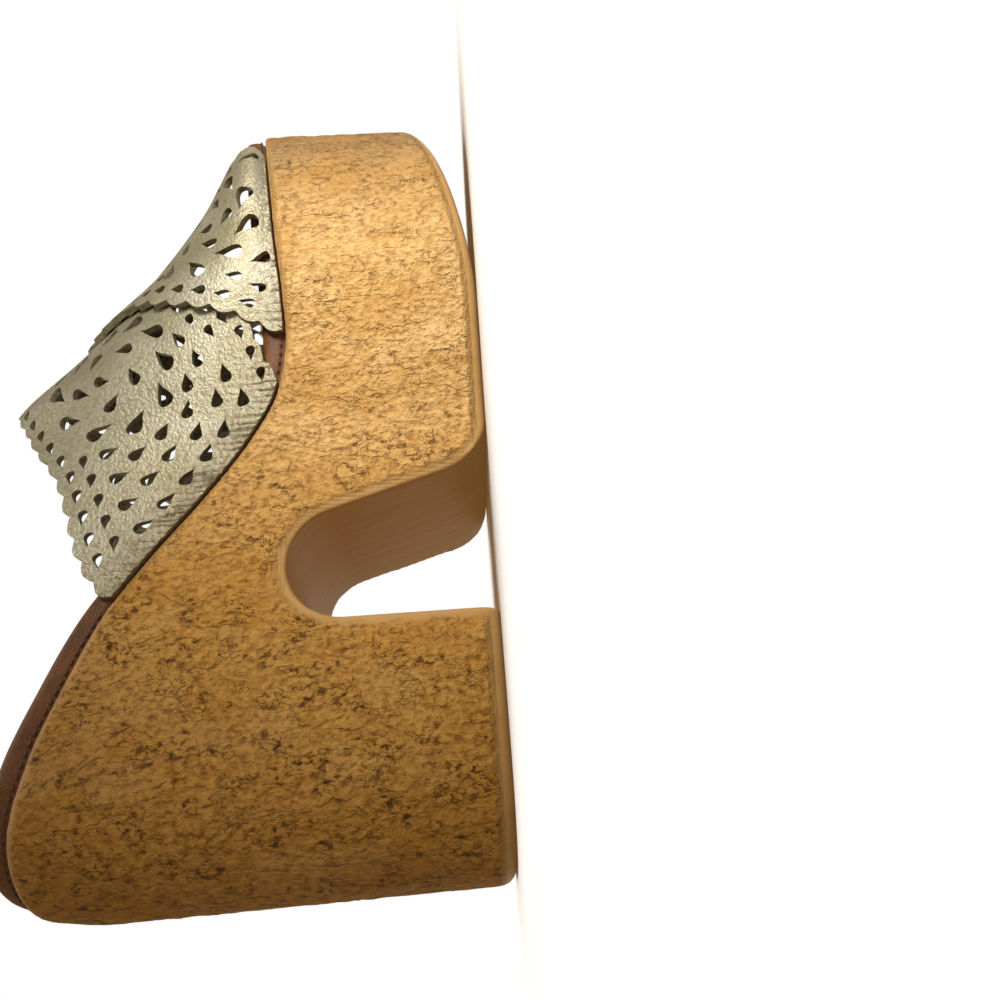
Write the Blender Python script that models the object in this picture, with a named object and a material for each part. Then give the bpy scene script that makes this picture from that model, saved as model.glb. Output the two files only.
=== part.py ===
"""A left platform sandal: one cork-covered sole with a notch under the arch, a leather footbed, crossed straps.

Metres, +X to the toe, +Y to the shoe's outer side, +Z up, standing on z = 0."""

import math

import bpy
from mathutils import Vector
from mathutils.geometry import delaunay_2d_cdt

# Sole, along the shoe
LENGTH = 0.240
BALL_WIDTH = 0.091
PLATFORM = 0.054
HEEL_RISE = 0.058
TOE_SPRING = 0.015
GROUND_SPRING = 0.020
GROUND_FLAT_END = 0.64
GROUND_CURVE = 1.5
HEEL_ROUND = 0.031
TOE_ROUND = 0.054
ROUNDNESS = 2.2
GROUND_EDGE = 0.004
TOP_EDGE = 0.0010
HEEL_HOLLOW = 0.0012
HEEL_LEAN = 0.0045
HEEL_LEAN_FROM = 0.098
HEEL_LEAN_HEIGHT = 0.022
HEEL_LEAN_REACH = 0.042

# Notch between platform and heel block
NOTCH_WALL = 0.0647
NOTCH_RADIUS = 0.0146
NOTCH_HEIGHT = 0.0532
NOTCH_LEAN = math.radians(17.5)
NOTCH_FLARE = 0.017

# Footbed
FOOTBED_THICKNESS = 0.0065
FOOTBED_INSET = 0.0016
FOOTBED_EDGE = 0.0028
FOOTBED_DISH = 0.0015

# Straps
INSTEP = 0.0895
STRAP_WALL = 0.0018
STRAIGHT_WALL = 0.0037
STRAP_GAP = 0.0007
SCALLOP_PITCH = 0.0068
SCALLOP_DEPTH = 0.0014
LIFT_TURN = 0.09
TACK_RADIUS = 0.0035

# Perforations
LARGE_DROP = 0.0076
SMALL_DROP = 0.0060
DROP_FULLNESS = 0.48
DROP_TAPER = 2.2
DROP_CURL = 0.088
GRID_CLEAR = 0.0042

SEAT_GAP = 0.0003
STATIONS = 60
END_TURN = math.radians(1.5)

# share of length; half width and shift to the outer side, as shares of the ball width
OUTLINE = (
    {"at": 0.00, "half": 0.345, "shift": 0.000},
    {"at": 0.12, "half": 0.345, "shift": 0.000},
    {"at": 0.25, "half": 0.340, "shift": 0.005},
    {"at": 0.38, "half": 0.345, "shift": 0.020},
    {"at": 0.50, "half": 0.383, "shift": 0.038},
    {"at": 0.60, "half": 0.447, "shift": 0.038},
    {"at": 0.68, "half": 0.490, "shift": 0.025},
    {"at": 0.76, "half": 0.493, "shift": 0.008},
    {"at": 0.85, "half": 0.458, "shift": -0.018},
    {"at": 0.93, "half": 0.400, "shift": -0.050},
    {"at": 1.00, "half": 0.350, "shift": -0.080},
)

# share of length; heel rise and toe spring of the sole's top, each as a share of its own size
PROFILE = (
    {"at": 0.00, "rise": 1.000, "spring": 0.00},
    {"at": 0.06, "rise": 1.000, "spring": 0.00},
    {"at": 0.15, "rise": 0.950, "spring": 0.00},
    {"at": 0.22, "rise": 0.858, "spring": 0.00},
    {"at": 0.29, "rise": 0.737, "spring": 0.00},
    {"at": 0.35, "rise": 0.575, "spring": 0.00},
    {"at": 0.41, "rise": 0.378, "spring": 0.00},
    {"at": 0.48, "rise": 0.170, "spring": 0.00},
    {"at": 0.54, "rise": 0.040, "spring": 0.00},
    {"at": 0.60, "rise": 0.000, "spring": 0.00},
    {"at": 0.65, "rise": 0.000, "spring": 0.04},
    {"at": 0.72, "rise": 0.000, "spring": 0.17},
    {"at": 0.80, "rise": 0.000, "spring": 0.32},
    {"at": 0.88, "rise": 0.000, "spring": 0.53},
    {"at": 0.94, "rise": 0.000, "spring": 0.74},
    {"at": 1.00, "rise": 0.000, "spring": 1.00},
)

# share of length; height of the straps' arch over the sole as a share of the instep, how full it is,
# and how far its ridge leans to the outer side as a share of the ball width
ARCH = (
    {"at": 0.30, "height": 0.840, "fullness": 2.40, "lean": 0.00},
    {"at": 0.43, "height": 0.910, "fullness": 2.35, "lean": 0.00},
    {"at": 0.56, "height": 1.000, "fullness": 2.20, "lean": 0.03},
    {"at": 0.64, "height": 0.850, "fullness": 1.85, "lean": 0.06},
    {"at": 0.73, "height": 0.633, "fullness": 1.38, "lean": 0.08},
    {"at": 0.82, "height": 0.378, "fullness": 1.28, "lean": 0.08},
    {"at": 0.88, "height": 0.231, "fullness": 1.28, "lean": 0.06},
    {"at": 1.00, "height": 0.130, "fullness": 1.28, "lean": 0.00},
)

# share of the way over the foot from the strap's toe end to its heel end; rear and front edge as shares of the length
UPPER_STRAP = (
    {"over": 0.00, "rear": 0.604, "front": 0.860},
    {"over": 0.05, "rear": 0.627, "front": 0.857},
    {"over": 0.12, "rear": 0.646, "front": 0.853},
    {"over": 0.27, "rear": 0.671, "front": 0.841},
    {"over": 0.37, "rear": 0.670, "front": 0.813},
    {"over": 0.50, "rear": 0.630, "front": 0.762},
    {"over": 0.57, "rear": 0.603, "front": 0.752},
    {"over": 0.64, "rear": 0.562, "front": 0.742},
    {"over": 0.76, "rear": 0.468, "front": 0.730},
    {"over": 0.84, "rear": 0.405, "front": 0.700},
    {"over": 0.90, "rear": 0.360, "front": 0.645},
    {"over": 0.95, "rear": 0.330, "front": 0.583},
    {"over": 1.00, "rear": 0.300, "front": 0.528},
)
LOWER_STRAP = (
    {"over": 0.00, "rear": 0.604, "front": 0.852},
    {"over": 0.05, "rear": 0.607, "front": 0.858},
    {"over": 0.12, "rear": 0.628, "front": 0.856},
    {"over": 0.27, "rear": 0.655, "front": 0.840},
    {"over": 0.37, "rear": 0.655, "front": 0.810},
    {"over": 0.50, "rear": 0.624, "front": 0.760},
    {"over": 0.57, "rear": 0.603, "front": 0.748},
    {"over": 0.64, "rear": 0.574, "front": 0.735},
    {"over": 0.76, "rear": 0.500, "front": 0.710},
    {"over": 0.84, "rear": 0.447, "front": 0.690},
    {"over": 0.89, "rear": 0.405, "front": 0.660},
    {"over": 0.955, "rear": 0.346, "front": 0.620},
    {"over": 1.00, "rear": 0.306, "front": 0.547},
)

# share of the way over the foot and across the strap; two rings of drops round that point and their radii
MEDALLIONS = (
    {"over": 0.16, "across": 0.50, "outer": 10, "outer_radius": 0.0155, "inner": 5, "inner_radius": 0.0078},
    {"over": 0.48, "across": 0.50, "outer": 8, "outer_radius": 0.0100, "inner": 0, "inner_radius": 0.0078},
    {"over": 0.82, "across": 0.48, "outer": 10, "outer_radius": 0.0165, "inner": 5, "inner_radius": 0.0083},
)


def smooth(rows, column, at, key="at", flowing=False):
    """The column's value at this place. The curve through the rows never overshoots them, unless it is flowing."""
    xs = [row[key] for row in rows]
    ys = [row[column] for row in rows]
    at = min(max(at, xs[0]), xs[-1])
    steps = [(ys[i + 1] - ys[i]) / (xs[i + 1] - xs[i]) for i in range(len(xs) - 1)]
    slopes = [steps[0]]
    for before, after in zip(steps, steps[1:]):
        if flowing:
            slopes.append((before + after) / 2)
        else:
            slopes.append(0.0 if before * after <= 0 else 2 * before * after / (before + after))
    slopes.append(steps[-1])
    i = max(j for j in range(len(steps)) if xs[j] <= at)
    width = xs[i + 1] - xs[i]
    t = (at - xs[i]) / width
    start = (1 + 2 * t) * (1 - t) ** 2 * ys[i] + t * (1 - t) ** 2 * width * slopes[i]
    end = t * t * (3 - 2 * t) * ys[i + 1] + t * t * (t - 1) * width * slopes[i + 1]
    return start + end


def end_round(inside, radius):
    """1 away from an end, falling to 0 at it as a round end does."""
    if inside >= radius:
        return 1.0
    return (1 - (1 - max(inside, 0.0) / radius) ** ROUNDNESS) ** (1 / ROUNDNESS)


def half_width(x):
    ends = end_round(x, HEEL_ROUND) * end_round(LENGTH - x, TOE_ROUND)
    return BALL_WIDTH * smooth(OUTLINE, "half", x / LENGTH, flowing=True) * ends


def middle(x):
    return BALL_WIDTH * smooth(OUTLINE, "shift", x / LENGTH, flowing=True)


def sole_top(x):
    at = x / LENGTH
    return PLATFORM + HEEL_RISE * smooth(PROFILE, "rise", at) + TOE_SPRING * smooth(PROFILE, "spring", at)


def sole_bottom(x):
    past = max(0.0, x / LENGTH - GROUND_FLAT_END) / (1 - GROUND_FLAT_END)
    return GROUND_SPRING * past**GROUND_CURVE


def heel_lean(x, z):
    """How far the back of the heel lies in front of its rearmost place: a little at the ground, more at its top."""
    near_back = max(0.0, 1 - x / HEEL_LEAN_REACH)
    below = max(0.0, 1 - z / HEEL_LEAN_FROM)
    above = max(0.0, z - HEEL_LEAN_FROM) / HEEL_LEAN_HEIGHT
    return near_back * (HEEL_HOLLOW * below + HEEL_LEAN * above**2)


def outline_point(index, side):
    """A point of the sole's outline, at stations that crowd together towards both round ends."""
    turn = END_TURN + (math.pi - 2 * END_TURN) * index / STATIONS
    x = LENGTH * (1 - math.cos(turn)) / 2
    return Vector((x, middle(x) + side * half_width(x)))


def edge_point(index, side, inset):
    """A point of the sole's outline at this station, moved in from it square to the outline."""
    along = (outline_point(index + 0.1, side) - outline_point(index - 0.1, side)).normalized()
    outward = Vector((-along.y, along.x)) * side
    return outline_point(index, side) - outward * inset


def new_mesh(name, points, faces):
    mesh = bpy.data.meshes.new(name)
    mesh.from_pydata([tuple(point) for point in points], [], faces)
    mesh.update()
    return bpy.data.objects.new(name, mesh)


def material(name, colour, roughness, metallic=0.0):
    made = bpy.data.materials.new(name)
    made.use_nodes = True
    shader = made.node_tree.nodes["Principled BSDF"]
    shader.inputs["Base Color"].default_value = (*colour, 1)
    shader.inputs["Roughness"].default_value = roughness
    shader.inputs["Metallic"].default_value = metallic
    return made


def loft(name, sections):
    """A closed body through sections of equally many points, each a loop seen against +X as clockwise."""
    count = len(sections[0])
    points = [point for section in sections for point in section]
    faces = []
    for row in range(len(sections) - 1):
        for i in range(count):
            near, far = row * count, (row + 1) * count
            faces.append((near + i, far + i, far + (i + 1) % count, near + (i + 1) % count))
    last = len(points) - count
    for i in range(count // 2):
        rung = list(dict.fromkeys((i, i + 1, count - 2 - i, count - 1 - i)))
        if len(rung) > 2:
            faces.append(tuple(rung))
            faces.append(tuple(last + j for j in reversed(rung)))
    return new_mesh(name, points, faces)


def sole_section(index):
    """One loop round the sole: up the inner side, over the top, down the outer side."""

    def at(side, inset, height_of):
        point = edge_point(index, side, inset)
        z = height_of(min(max(point.x, 0.0), LENGTH))
        return Vector((point.x + heel_lean(point.x, z), point.y, z))

    lower = lambda x: sole_bottom(x) + GROUND_EDGE
    upper = lambda x: sole_top(x) - TOP_EDGE
    sixth = GROUND_EDGE * (1 - math.cos(math.radians(45)))
    rows = [(GROUND_EDGE, sole_bottom), (sixth, lambda x: sole_bottom(x) + sixth), (0.0, lower)]
    for share in (0.25, 0.5, 0.75):
        rows.append((0.0, lambda x, share=share: lower(x) + share * (upper(x) - lower(x))))
    rows += [(0.0, upper), (TOP_EDGE, sole_top)]
    inner = [at(-1, inset, height_of) for inset, height_of in rows]
    outer = [at(1, inset, height_of) for inset, height_of in rows]
    return inner + outer[::-1]


def notch_outline():
    """The notch from the side: a wall square to the ground, a round end, a leaning wall and a flare on the ground."""
    centre = Vector((NOTCH_WALL + NOTCH_RADIUS, NOTCH_HEIGHT - NOTCH_RADIUS))
    below = -GROUND_EDGE
    points = [Vector((NOTCH_WALL, below))]
    for step in range(13):
        turn = math.pi - (math.pi - NOTCH_LEAN) * step / 12
        points.append(centre + NOTCH_RADIUS * Vector((math.cos(turn), math.sin(turn))))
    square = Vector((math.cos(NOTCH_LEAN), math.sin(NOTCH_LEAN)))
    down = Vector((math.sin(NOTCH_LEAN), -math.cos(NOTCH_LEAN)))
    last = points[-1]
    run = (last.y + (square.y - 1) * NOTCH_FLARE) / -down.y
    flare = last + down * run + square * NOTCH_FLARE
    for step in range(9):
        turn = math.pi + NOTCH_LEAN + (math.pi / 2 - NOTCH_LEAN) * step / 8
        points.append(flare + NOTCH_FLARE * Vector((math.cos(turn), math.sin(turn))))
    points.append(Vector((flare.x, below)))
    return points


def make_notch_cutter(helpers):
    curve = bpy.data.curves.new("notch_outline", "CURVE")
    curve.dimensions = "2D"
    curve.fill_mode = "BOTH"
    curve.extrude = BALL_WIDTH
    outline = notch_outline()
    spline = curve.splines.new("POLY")
    spline.points.add(len(outline) - 1)
    for point, place in zip(spline.points, outline):
        point.co = (place.x, place.y, 0, 1)
    spline.use_cyclic_u = True
    drawn = bpy.data.objects.new("notch_outline", curve)
    cutter = bpy.data.objects.new("notch_cutter", bpy.data.meshes.new_from_object(drawn))
    bpy.data.objects.remove(drawn)
    cutter.rotation_euler.x = math.pi / 2
    add_helper(cutter, helpers)
    return cutter


def make_sole(helpers):
    sole = loft("cork_sole", [sole_section(index) for index in range(STATIONS + 1)])
    combine(sole, make_notch_cutter(helpers), "DIFFERENCE")
    sole.data.materials.append(material("natural_cork", (0.42, 0.25, 0.11), 0.75))
    return sole


def footbed_section(index):
    """One loop round the footbed: up the inner side, over the dished top, down the outer side."""

    def at(side, inset, rise):
        point = edge_point(index, side, FOOTBED_INSET + inset)
        floor = sole_top(min(max(point.x, 0.0), LENGTH)) + SEAT_GAP
        z = floor + rise
        return Vector((point.x + heel_lean(point.x, z), point.y, z))

    side_top = FOOTBED_THICKNESS - FOOTBED_EDGE
    eighth = FOOTBED_EDGE * (1 - math.cos(math.radians(45)))
    rows = [(0.0, 0.0), (0.0, side_top), (eighth, FOOTBED_THICKNESS - eighth), (FOOTBED_EDGE, FOOTBED_THICKNESS)]
    inner = [at(-1, inset, rise) for inset, rise in rows]
    outer = [at(1, inset, rise) for inset, rise in rows]
    over = []
    for share in (0.25, 0.5, 0.75):
        point = inner[-1].lerp(outer[-1], share)
        floor = sole_top(min(max(point.x, 0.0), LENGTH)) + SEAT_GAP
        ends = end_round(point.x, HEEL_ROUND) * end_round(LENGTH - point.x, TOE_ROUND)
        dish = FOOTBED_DISH * ends * math.sin(math.pi * share) ** 2
        over.append(Vector((point.x, point.y, floor + FOOTBED_THICKNESS - dish)))
    return inner + over + outer[::-1]


def make_footbed():
    footbed = loft("footbed", [footbed_section(index) for index in range(STATIONS + 1)])
    footbed.data.materials.append(material("chestnut_leather", (0.20, 0.075, 0.028), 0.45))
    return footbed


def arch_point(x, turn, out=0.0):
    """A point of the form under the straps: turn runs from 0 at the inner edge to 1 at the outer edge."""

    def on_form(x, turn):
        base = half_width(x) - FOOTBED_INSET + SEAT_GAP
        height = INSTEP * smooth(ARCH, "height", x / LENGTH)
        fullness = smooth(ARCH, "fullness", x / LENGTH)
        rise = height * math.sin(math.pi * min(max(turn, 0.0), 1.0)) ** (2 / fullness)
        above = max(rise - STRAIGHT_WALL, 0.0) / (height - STRAIGHT_WALL)
        across = max(1 - above**fullness, 0.0) ** (1 / fullness)
        lean = BALL_WIDTH * smooth(ARCH, "lean", x / LENGTH) * above**2
        side = -1 if turn < 0.5 else 1
        return Vector((x, middle(x) + side * base * across + lean, sole_top(x) + SEAT_GAP + rise))

    here = on_form(x, turn)
    if not out:
        return here
    step = 0.004
    low, high = max(turn - step, 0.0), min(turn + step, 1.0)
    around = on_form(x, high) - on_form(x, low)
    along = on_form(x + 0.001, turn) - on_form(x - 0.001, turn)
    if turn < step or turn > 1 - step:
        around = Vector((0, 0, 1 if turn < step else -1))
        along.z = 0
    return here + out * along.cross(around).normalized()


def strap_x(strap, over, across):
    """Where this share of a strap's width lies along the shoe."""
    rear = smooth(strap, "rear", over, "over")
    front = smooth(strap, "front", over, "over")
    return LENGTH * (rear + (front - rear) * across)


def strap_turn(strap, over):
    """The upper strap's toe end is on the inner side of the shoe, and the lower strap's on the outer side."""
    return over if strap is UPPER_STRAP else 1 - over


def edge_run(strap, across, count):
    """A strap edge as (over, x) with its scallops."""
    fine = 200
    steps = [i / fine for i in range(fine + 1)]
    places = [arch_point(strap_x(strap, over, across), strap_turn(strap, over)) for over in steps]
    lengths = [0.0]
    for before, after in zip(places, places[1:]):
        lengths.append(lengths[-1] + (after - before).length)
    scallops = max(1, round(lengths[-1] / SCALLOP_PITCH))
    outward = -1 if across == 0 else 1
    run = []
    index = 0
    for i in range(scallops * count + 1):
        wanted = lengths[-1] * i / (scallops * count)
        while index < fine - 1 and lengths[index + 1] < wanted:
            index += 1
        part = (wanted - lengths[index]) / (lengths[index + 1] - lengths[index])
        over = (index + part) / fine
        bulge = SCALLOP_DEPTH * abs(math.sin(math.pi * i / count))
        run.append((over, strap_x(strap, over, across) + outward * bulge))
    return run


def drop(length, bend, count):
    """A curled drop round (0, 0), with a round head and a tail drawn out along +x, as points in metres."""
    points = []
    for i in range(count):
        turn = 2 * math.pi * i / count
        x = math.cos(turn)
        y = DROP_FULLNESS * math.sin(turn) * abs(math.sin(turn / 2)) ** DROP_TAPER
        points.append(length * Vector((x / 2, y + bend * DROP_CURL * (x + 1) ** 2)))
    return points


def local_sizes(strap, over, x):
    """On the form here: metres for one metre of x, and for one whole way over, along that line and square to it."""
    step = 0.002
    turn = strap_turn(strap, over)
    low, high = max(turn - step, 0.0), min(turn + step, 1.0)
    along = (arch_point(x + step, turn) - arch_point(x - step, turn)) / (2 * step)
    around = (arch_point(x, high) - arch_point(x, low)) / (high - low)
    if strap is LOWER_STRAP:
        around = -around
    slant = around.dot(along.normalized())
    square = (around - slant * along.normalized()).length
    return along.length, slant, square


def place_drop(outline, strap, over, x, aim):
    """The teardrop on the strap's pattern, undistorted where it lies on the form."""
    along, slant, square = local_sizes(strap, over, x)
    placed = []
    for point in outline:
        px = point.x * math.cos(aim) - point.y * math.sin(aim)
        py = point.x * math.sin(aim) + point.y * math.cos(aim)
        placed.append((over + py / square, x + (px - slant * py / square) / along))
    return placed


def medallion_drops(strap, count=10):
    drops = []
    for medallion in MEDALLIONS:
        over, x = medallion["over"], strap_x(strap, medallion["over"], medallion["across"])
        for ring, length, offset in (("outer", LARGE_DROP, 0.5), ("inner", SMALL_DROP, 0.0)):
            for i in range(medallion[ring]):
                turn = 2 * math.pi * (i + offset) / medallion[ring]
                radius = medallion[ring + "_radius"]
                centre = [Vector((radius * math.cos(turn), radius * math.sin(turn)))]
                ((at_over, at_x),) = place_drop(centre, strap, over, x, 0.0)
                drops.append(place_drop(drop(length, 1.0, count), strap, at_over, at_x, turn + math.pi + 0.5))
    return drops


def flat(place):
    """A place of the pattern on a flat sheet of about the strap's own proportions."""
    return Vector((place[0] * INSTEP * 2.1, place[1]))


def strap_pattern(strap):
    """The strap's cut pattern in (over, x): its outline, its holes and points that let it bend."""
    rear = edge_run(strap, 0, 3)
    front = edge_run(strap, 1, 3)
    foot_steps = 10
    toe_foot = [(0.0, strap_x(strap, 0, i / foot_steps)) for i in range(1, foot_steps)]
    heel_foot = [(1.0, strap_x(strap, 1, i / foot_steps)) for i in range(1, foot_steps)]
    outline = rear + heel_foot + front[::-1] + toe_foot[::-1]
    grid = [(i / 24, strap_x(strap, i / 24, j / 8)) for i in range(1, 24) for j in range(1, 8)]
    drops = medallion_drops(strap)
    centres = [sum((flat(place) for place in one), Vector((0, 0))) / len(one) for one in drops]
    grid = [place for place in grid if all((flat(place) - centre).length > GRID_CLEAR for centre in centres)]
    return outline, drops, grid


def over_lift(over):
    """How far the upper strap stands off the form so that it passes over the lower one."""
    share = min(1.0, over / LIFT_TURN, (1 - over) / LIFT_TURN)
    share = max(share, 0.0)
    return (STRAP_WALL + STRAP_GAP) * share * share * (3 - 2 * share)


def make_strap(name, strap):
    outline, drops, grid = strap_pattern(strap)
    points, edges = [], []
    for loop in [outline] + drops:
        start = len(points)
        points += loop
        edges += [(start + i, start + (i + 1) % len(loop)) for i in range(len(loop))]
    points += grid
    made = delaunay_2d_cdt([flat(point) for point in points], edges, [], 2, 1e-7)
    flat_points, _, triangles, _, _, _ = made
    scale = flat((1.0, 0.0)).x
    inside_drops = [[flat(place) for place in one] for one in drops]
    kept = []
    for triangle in triangles:
        centre = sum((flat_points[i] for i in triangle), Vector((0, 0))) / len(triangle)
        if not any(holds(one, centre) for one in inside_drops):
            kept.append(triangle)
    lower, upper = [], []
    for point in flat_points:
        over, x = point.x / scale, point.y
        turn = min(max(strap_turn(strap, over), 0.0), 1.0)
        lift = over_lift(over) if strap is UPPER_STRAP else 0.0
        lower.append(arch_point(x, turn, lift + 1e-7))
        upper.append(arch_point(x, turn, lift + STRAP_WALL))
    shift = len(lower)
    faces = [tuple(triangle) for triangle in kept]
    sides = {}
    for a, b, c in kept:
        for edge in ((a, b), (b, c), (c, a)):
            sides[edge] = True
    rim = [(a, b) for a, b in sides if (b, a) not in sides]
    faces += [tuple(i + shift for i in reversed(triangle)) for triangle in kept]
    faces += [(b, a, a + shift, b + shift) for a, b in rim]
    return new_mesh(name, lower + upper, faces)


def holds(loop, point):
    inside = False
    for a, b in zip(loop, loop[1:] + loop[:1]):
        if (a.y > point.y) != (b.y > point.y):
            if point.x < a.x + (point.y - a.y) * (b.x - a.x) / (b.y - a.y):
                inside = not inside
    return inside


def make_tack(helpers):
    """The round tack that joins the straps where they cross, from inside one wall to inside the other."""
    over = MEDALLIONS[1]["over"]
    x = strap_x(UPPER_STRAP, over, MEDALLIONS[1]["across"])
    base = arch_point(x, over, STRAP_WALL / 2)
    top = arch_point(x, over, STRAP_WALL * 1.5 + STRAP_GAP)
    bpy.ops.mesh.primitive_cylinder_add(vertices=16, radius=TACK_RADIUS, depth=(top - base).length)
    tack = bpy.context.object
    tack.name = "strap_tack"
    tack.location = (base + top) / 2
    tack.rotation_euler = (top - base).to_track_quat("Z", "Y").to_euler()
    for collection in list(tack.users_collection):
        collection.objects.unlink(tack)
    add_helper(tack, helpers)
    return tack


def make_upper(helpers):
    upper = make_strap("crossed_straps", UPPER_STRAP)
    lower = make_strap("lower_strap", LOWER_STRAP)
    add_helper(lower, helpers)
    combine(upper, make_tack(helpers), "UNION")
    combine(upper, lower, "UNION")
    upper.data.materials.append(material("metallic_leather", (0.60, 0.53, 0.38), 0.38, 0.75))
    return upper


def combine(body, tool, operation):
    modifier = body.modifiers.new(tool.name, "BOOLEAN")
    modifier.operation = operation
    modifier.solver = "EXACT"
    modifier.object = tool


def add_helper(tool, helpers):
    tool.hide_render = True
    tool.display_type = "WIRE"
    helpers.objects.link(tool)


def box_of(parts):
    """Lowest and highest corner of the finished parts."""
    graph = bpy.context.evaluated_depsgraph_get()
    low, high = Vector((1.0, 1.0, 1.0)), Vector((-1.0, -1.0, -1.0))
    for part in parts:
        for vertex in part.evaluated_get(graph).data.vertices:
            for axis in range(3):
                low[axis] = min(low[axis], vertex.co[axis])
                high[axis] = max(high[axis], vertex.co[axis])
    return low, high


def main():
    for old in list(bpy.data.objects):
        bpy.data.objects.remove(old)
    scene = bpy.context.scene
    sandal = bpy.data.collections.new("platform_sandal")
    helpers = bpy.data.collections.new("cutters")
    scene.collection.children.link(sandal)
    scene.collection.children.link(helpers)
    parts = [make_sole(helpers), make_footbed(), make_upper(helpers)]
    root = bpy.data.objects.new("sandal", None)
    sandal.objects.link(root)
    for part in parts:
        sandal.objects.link(part)
    low, high = box_of(parts)
    for item in parts + list(helpers.objects):
        item.parent = root
    root.location = (-(low.x + high.x) / 2, -(low.y + high.y) / 2, -low.z)


main()
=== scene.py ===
"""The dressed platform sandal: cork block, leather footbed and crossed perforated straps.

Metres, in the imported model's frame. The shapes repeat the part's own named sizes and short tables."""

import math

import bpy
from mathutils import Matrix, Vector, noise
from mathutils.geometry import delaunay_2d_cdt


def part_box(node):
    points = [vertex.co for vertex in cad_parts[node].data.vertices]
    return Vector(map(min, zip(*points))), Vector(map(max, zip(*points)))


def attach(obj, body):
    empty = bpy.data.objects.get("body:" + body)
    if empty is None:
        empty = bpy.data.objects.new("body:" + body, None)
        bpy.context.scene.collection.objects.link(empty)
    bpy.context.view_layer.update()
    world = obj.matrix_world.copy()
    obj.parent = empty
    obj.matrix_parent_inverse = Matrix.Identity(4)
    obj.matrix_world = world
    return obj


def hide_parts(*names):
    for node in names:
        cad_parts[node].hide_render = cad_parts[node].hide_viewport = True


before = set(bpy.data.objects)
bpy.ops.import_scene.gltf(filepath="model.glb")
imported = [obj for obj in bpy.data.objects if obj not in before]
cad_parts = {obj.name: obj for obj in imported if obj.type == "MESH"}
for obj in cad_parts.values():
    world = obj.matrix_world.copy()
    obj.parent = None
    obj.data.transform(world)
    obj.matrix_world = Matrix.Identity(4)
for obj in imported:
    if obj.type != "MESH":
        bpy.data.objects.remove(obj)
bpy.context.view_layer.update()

# without it the cork's relief starts from the clock and differs with each run
noise.seed_set(7)


def table(columns, *rows):
    """Rows of named values."""
    return [dict(zip(columns.split(), row)) for row in rows]


# Sole, along the shoe
LENGTH = 0.240
BALL_WIDTH = 0.091
PLATFORM = 0.054
HEEL_RISE = 0.058
TOE_SPRING = 0.015
GROUND_SPRING = 0.020
GROUND_FLAT_END = 0.64
GROUND_CURVE = 1.5
HEEL_ROUND = 0.031
TOE_ROUND = 0.054
ROUNDNESS = 2.2
GROUND_EDGE = 0.004
TOP_EDGE = 0.0010
HEEL_HOLLOW = 0.0012
HEEL_LEAN = 0.0045
HEEL_LEAN_FROM = 0.098
HEEL_LEAN_HEIGHT = 0.022
HEEL_LEAN_REACH = 0.042

# Notch between platform and heel block
NOTCH_WALL = 0.0647
NOTCH_RADIUS = 0.0146
NOTCH_HEIGHT = 0.0532
NOTCH_LEAN = math.radians(17.5)
NOTCH_FLARE = 0.017

# Footbed
FOOTBED_THICKNESS = 0.0065
FOOTBED_INSET = 0.0016
FOOTBED_EDGE = 0.0028
FOOTBED_DISH = 0.0015
FOOTBED_SWELL = 0.0001
GROOVE_HEIGHT = 0.0013
GROOVE_DEPTH = 0.0007

# Straps
INSTEP = 0.0895
STRAP_WALL = 0.0018
STRAIGHT_WALL = 0.0037
STRAP_GAP = 0.0007
SCALLOP_PITCH = 0.0068
SCALLOP_DEPTH = 0.0014
LIFT_TURN = 0.09

# Perforations
LARGE_DROP = 0.0076
SMALL_DROP = 0.0060
BORDER_DROP = 0.0044
BORDER_ROWS = ((0.0034, 0.0), (0.0088, 0.5))
BORDER_CLEAR = 0.0050
FILLER_DROP = 0.0056
FILLER_CLEAR = 0.0069
FILLER_INSET = 0.0135
END_CLEAR = 0.0012
DROP_FULLNESS = 0.48
DROP_TAPER = 2.2
DROP_CURL = 0.088

# Stitches, with the share of the length that they keep off a strap's foot
STITCH_PITCH = 0.0024
STITCH_LENGTH = 0.0016
THREAD_THICKNESS = 0.0006
STITCH_HEIGHT = 0.0009
STITCH_OUT = 0.0001
STITCH_CLEAR = 0.012

# Cork's surface
NOTCH_BORDER = 0.0028
RIM_BORDER = 0.0016
NOTCH_REACH = 0.012
WALL_DEPTH = 0.0011
WALL_RIM = 0.0006
WRINKLE_HEIGHT = 0.00034
SPLIT_DEPTH = 0.00060

# Gathers at the straps' feet, and the unevenness of their leather
GATHER_STEP = 0.0010
GATHER_ROWS = 7
GATHER_PITCH = 0.0019
GATHER_DEPTH = 0.00045
GATHER_REACH = 0.0048
FOOT_RUB = 0.010
UNEVEN = 0.00016

# Meshes
SEAT_GAP = 0.0003
STATIONS = 240
END_TURN = math.radians(1.5)
CORK_VOXEL = 0.00097
GRID_STEP = 0.0023
EDGE_MARGIN = 0.0008
HOLE_MARGIN = 0.0009
FOOT_STEPS = 120
SHEET_WAY = INSTEP * 2.1

# The straps' materials in their order
METAL, LINING, CUT_EDGE = 0, 1, 2

# share of length; half width and shift to the outer side, as shares of the ball width
OUTLINE = table(
    "at half shift",
    (0.00, 0.345, 0.000),
    (0.12, 0.345, 0.000),
    (0.25, 0.340, 0.005),
    (0.38, 0.345, 0.020),
    (0.50, 0.383, 0.038),
    (0.60, 0.447, 0.038),
    (0.68, 0.490, 0.025),
    (0.76, 0.493, 0.008),
    (0.85, 0.458, -0.018),
    (0.93, 0.400, -0.050),
    (1.00, 0.350, -0.080),
)

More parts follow.
